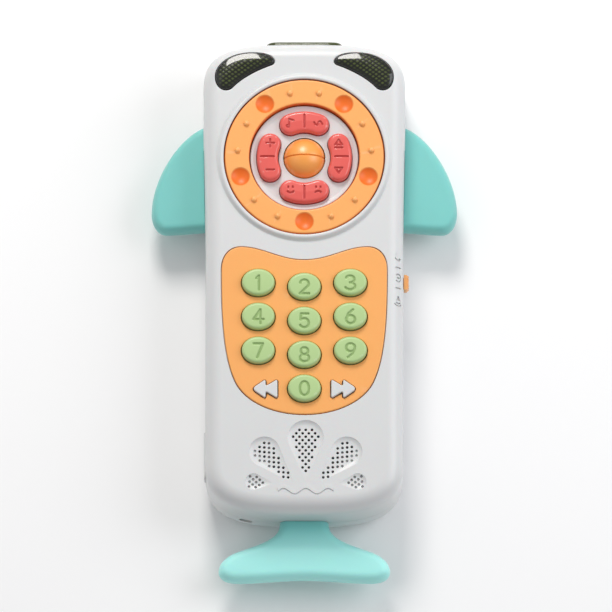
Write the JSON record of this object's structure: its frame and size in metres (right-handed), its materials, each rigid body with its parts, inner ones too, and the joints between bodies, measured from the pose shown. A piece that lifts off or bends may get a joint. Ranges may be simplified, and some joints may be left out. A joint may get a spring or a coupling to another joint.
{
  "type": "toy cell phone",
  "caption": "Whale-shaped toy phone with a turning dial ring, rolling ball, rocker buttons, oval number keys, tinted eye lenses, soft flippers and a tail.",
  "frame": {"origin": "centre of the bounding box in X and Y, on the flat back that the phone lies on", "axes": "+Y along the phone towards the head end, +Z out of the face, +X to the right of the face"},
  "size_m": [0.1102, 0.1984, 0.0337],
  "materials": {
    "white_shell": "satin moulded ABS",
    "orange_plastic": "satin moulded ABS",
    "ball_orange": "polished",
    "coral_button": "satin moulded",
    "green_key": "satin moulded",
    "smoked_lens": "polished translucent tint over a faceted back",
    "teal_silicone": "soft matte silicone",
    "grey_silicone": "matte",
    "inner_plastic": "as moulded",
    "steel": "zinc plated",
    "circuit_board": "solder mask",
    "black_plastic": "as moulded",
    "led_clear": "clear resin",
    "speaker_paper": "pressed paper",
    "battery_wrap": "shrink wrap"
  },
  "bodies": {
    "case": {"front_shell": "white_shell", "back_shell": "white_shell", "battery_door": "white_shell", "battery_door_screw": "steel", "battery_pack": "battery_wrap", "shell_screw_1": "steel", "shell_screw_2": "steel", "shell_screw_3": "steel", "shell_screw_4": "steel", "shell_screw_5": "steel", "shell_screw_6": "steel", "dial_retainer": "inner_plastic", "retainer_screw_1": "steel", "retainer_screw_2": "steel", "retainer_screw_3": "steel", "button_dish": "white_shell", "ball_cradle": "inner_plastic", "rocker_membrane": "grey_silicone", "keypad_panel": "orange_plastic", "key_membrane": "grey_silicone", "eye_lens_left": "smoked_lens", "eye_lens_right": "smoked_lens", "top_lens": "smoked_lens", "flipper_left": "teal_silicone", "flipper_right": "teal_silicone", "tail": "teal_silicone", "switch_body": "black_plastic", "charge_socket": "steel", "main_board": "circuit_board", "eye_led_left": "led_clear", "eye_led_right": "led_clear", "top_led": "led_clear", "speaker_frame": "steel", "speaker_cone": "speaker_paper", "speaker_magnet": "steel"},
    "dial": {"dial_ring": "orange_plastic"},
    "ball": {"ball_half_head": "ball_orange", "ball_half_tail": "ball_orange", "ball_axle": "steel"},
    "rocker_right_button": {"rocker_right": "coral_button"},
    "rocker_head_button": {"rocker_head": "coral_button"},
    "rocker_left_button": {"rocker_left": "coral_button"},
    "rocker_tail_button": {"rocker_tail": "coral_button"},
    "key_0_button": {"key_0": "green_key"},
    "key_1_button": {"key_1": "green_key"},
    "key_2_button": {"key_2": "green_key"},
    "key_3_button": {"key_3": "green_key"},
    "key_4_button": {"key_4": "green_key"},
    "key_5_button": {"key_5": "green_key"},
    "key_6_button": {"key_6": "green_key"},
    "key_7_button": {"key_7": "green_key"},
    "key_8_button": {"key_8": "green_key"},
    "key_9_button": {"key_9": "green_key"},
    "skip_back_button": {"skip_back": "white_shell"},
    "skip_forward_button": {"skip_forward": "white_shell"},
    "switch": {"switch_knob": "orange_plastic"},
    "cover": {"port_cover": "white_shell"}
  },
  "joints": [
    {"name": "dial_spin", "type": "hinge", "parent": "case", "child": "dial", "pos_m": [0, 0.0546, 0.029], "axis": [0, 0, 1], "continuous": true},
    {"name": "ball_spin", "type": "hinge", "parent": "case", "child": "ball", "pos_m": [0, 0.0546, 0.0261], "axis": [1, 0, 0], "continuous": true},
    {"name": "rocker_right_tilt", "type": "hinge", "parent": "case", "child": "rocker_right_button", "pos_m": [0.0133, 0.0546, 0.0266], "axis": [1, 0, 0], "range_deg": [-4, 4], "stiffness_Nm_per_rad": 0.05},
    {"name": "rocker_head_tilt", "type": "hinge", "parent": "case", "child": "rocker_head_button", "pos_m": [0, 0.0679, 0.0266], "axis": [0, 1, 0], "range_deg": [-4, 4], "stiffness_Nm_per_rad": 0.05},
    {"name": "rocker_left_tilt", "type": "hinge", "parent": "case", "child": "rocker_left_button", "pos_m": [-0.0133, 0.0546, 0.0266], "axis": [-1, 0, 0], "range_deg": [-4, 4], "stiffness_Nm_per_rad": 0.05},
    {"name": "rocker_tail_tilt", "type": "hinge", "parent": "case", "child": "rocker_tail_button", "pos_m": [0, 0.0413, 0.0266], "axis": [0, -1, 0], "range_deg": [-4, 4], "stiffness_Nm_per_rad": 0.05},
    {"name": "key_0_press", "type": "slide", "parent": "case", "child": "key_0_button", "axis": [0, 0, -1], "range_m": [0, 0.0012], "stiffness_N_per_m": 300, "springref_m": -0.0008},
    {"name": "key_1_press", "type": "slide", "parent": "case", "child": "key_1_button", "axis": [0, 0, -1], "range_m": [0, 0.0012], "stiffness_N_per_m": 300, "springref_m": -0.0008},
    {"name": "key_2_press", "type": "slide", "parent": "case", "child": "key_2_button", "axis": [0, 0, -1], "range_m": [0, 0.0012], "stiffness_N_per_m": 300, "springref_m": -0.0008},
    {"name": "key_3_press", "type": "slide", "parent": "case", "child": "key_3_button", "axis": [0, 0, -1], "range_m": [0, 0.0012], "stiffness_N_per_m": 300, "springref_m": -0.0008},
    {"name": "key_4_press", "type": "slide", "parent": "case", "child": "key_4_button", "axis": [0, 0, -1], "range_m": [0, 0.0012], "stiffness_N_per_m": 300, "springref_m": -0.0008},
    {"name": "key_5_press", "type": "slide", "parent": "case", "child": "key_5_button", "axis": [0, 0, -1], "range_m": [0, 0.0012], "stiffness_N_per_m": 300, "springref_m": -0.0008},
    {"name": "key_6_press", "type": "slide", "parent": "case", "child": "key_6_button", "axis": [0, 0, -1], "range_m": [0, 0.0012], "stiffness_N_per_m": 300, "springref_m": -0.0008},
    {"name": "key_7_press", "type": "slide", "parent": "case", "child": "key_7_button", "axis": [0, 0, -1], "range_m": [0, 0.0012], "stiffness_N_per_m": 300, "springref_m": -0.0008},
    {"name": "key_8_press", "type": "slide", "parent": "case", "child": "key_8_button", "axis": [0, 0, -1], "range_m": [0, 0.0012], "stiffness_N_per_m": 300, "springref_m": -0.0008},
    {"name": "key_9_press", "type": "slide", "parent": "case", "child": "key_9_button", "axis": [0, 0, -1], "range_m": [0, 0.0012], "stiffness_N_per_m": 300, "springref_m": -0.0008},
    {"name": "skip_back_press", "type": "slide", "parent": "case", "child": "skip_back_button", "axis": [0, 0, -1], "range_m": [0, 0.0008], "stiffness_N_per_m": 300, "springref_m": -0.0008},
    {"name": "skip_forward_press", "type": "slide", "parent": "case", "child": "skip_forward_button", "axis": [0, 0, -1], "range_m": [0, 0.0008], "stiffness_N_per_m": 300, "springref_m": -0.0008},
    {"name": "switch_slide", "type": "slide", "parent": "case", "child": "switch", "axis": [0, 1, 0], "range_m": [-0.002, 0.002]},
    {"name": "cover_hinge", "type": "hinge", "parent": "case", "child": "cover", "pos_m": [-0.03525, -0.046, 0.0174], "axis": [0, 0, 1], "range_deg": [-105, 0]}
  ]
}
